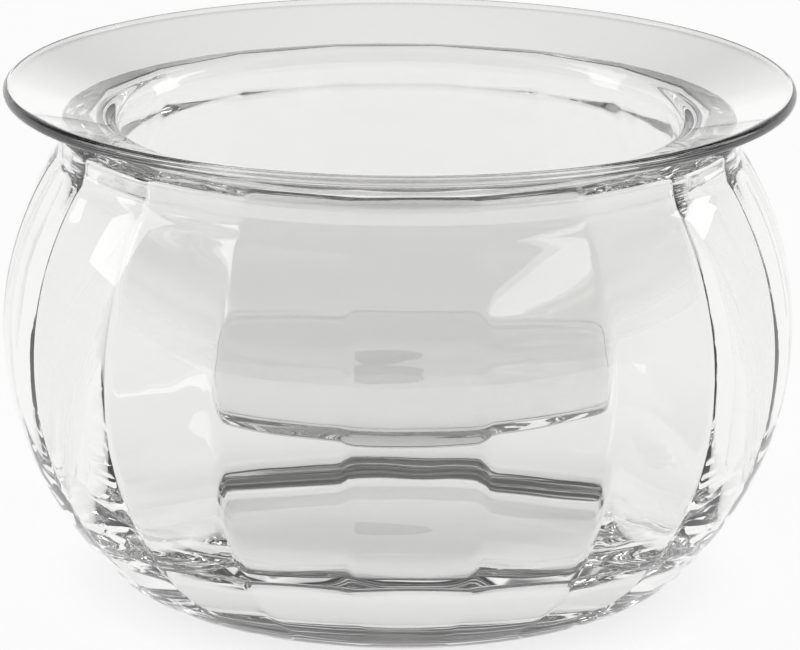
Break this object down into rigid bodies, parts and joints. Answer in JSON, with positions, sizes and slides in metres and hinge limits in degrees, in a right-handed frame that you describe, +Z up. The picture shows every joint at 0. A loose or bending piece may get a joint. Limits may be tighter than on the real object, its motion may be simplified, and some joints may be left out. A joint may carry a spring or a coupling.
{
  "type": "two-piece glass chilling bowl",
  "caption": "Bulbous clear glass bowl with flat optic panels inside, and a wide-flanged glass dish that hangs in its mouth and lifts out.",
  "frame": {"origin": "centre of the bowl's flat foot, at the bottom of the object", "axes": "+Z up along the axis of revolution; the middle of one flat inside panel faces -Y, the front"},
  "size_m": [0.181, 0.181, 0.1163],
  "materials": {
    "bowl_glass": "clear polished crystal glass",
    "dish_glass": "clear polished glass with a faint green-grey edge"
  },
  "bodies": {
    "bowl": {"outer_bowl": "bowl_glass"},
    "dish": {"insert_dish": "dish_glass"}
  },
  "joints": [
    {"name": "dish_lift", "type": "slide", "parent": "bowl", "child": "dish", "axis": [0, 0, 1], "range_m": [0, 0.08]}
  ]
}
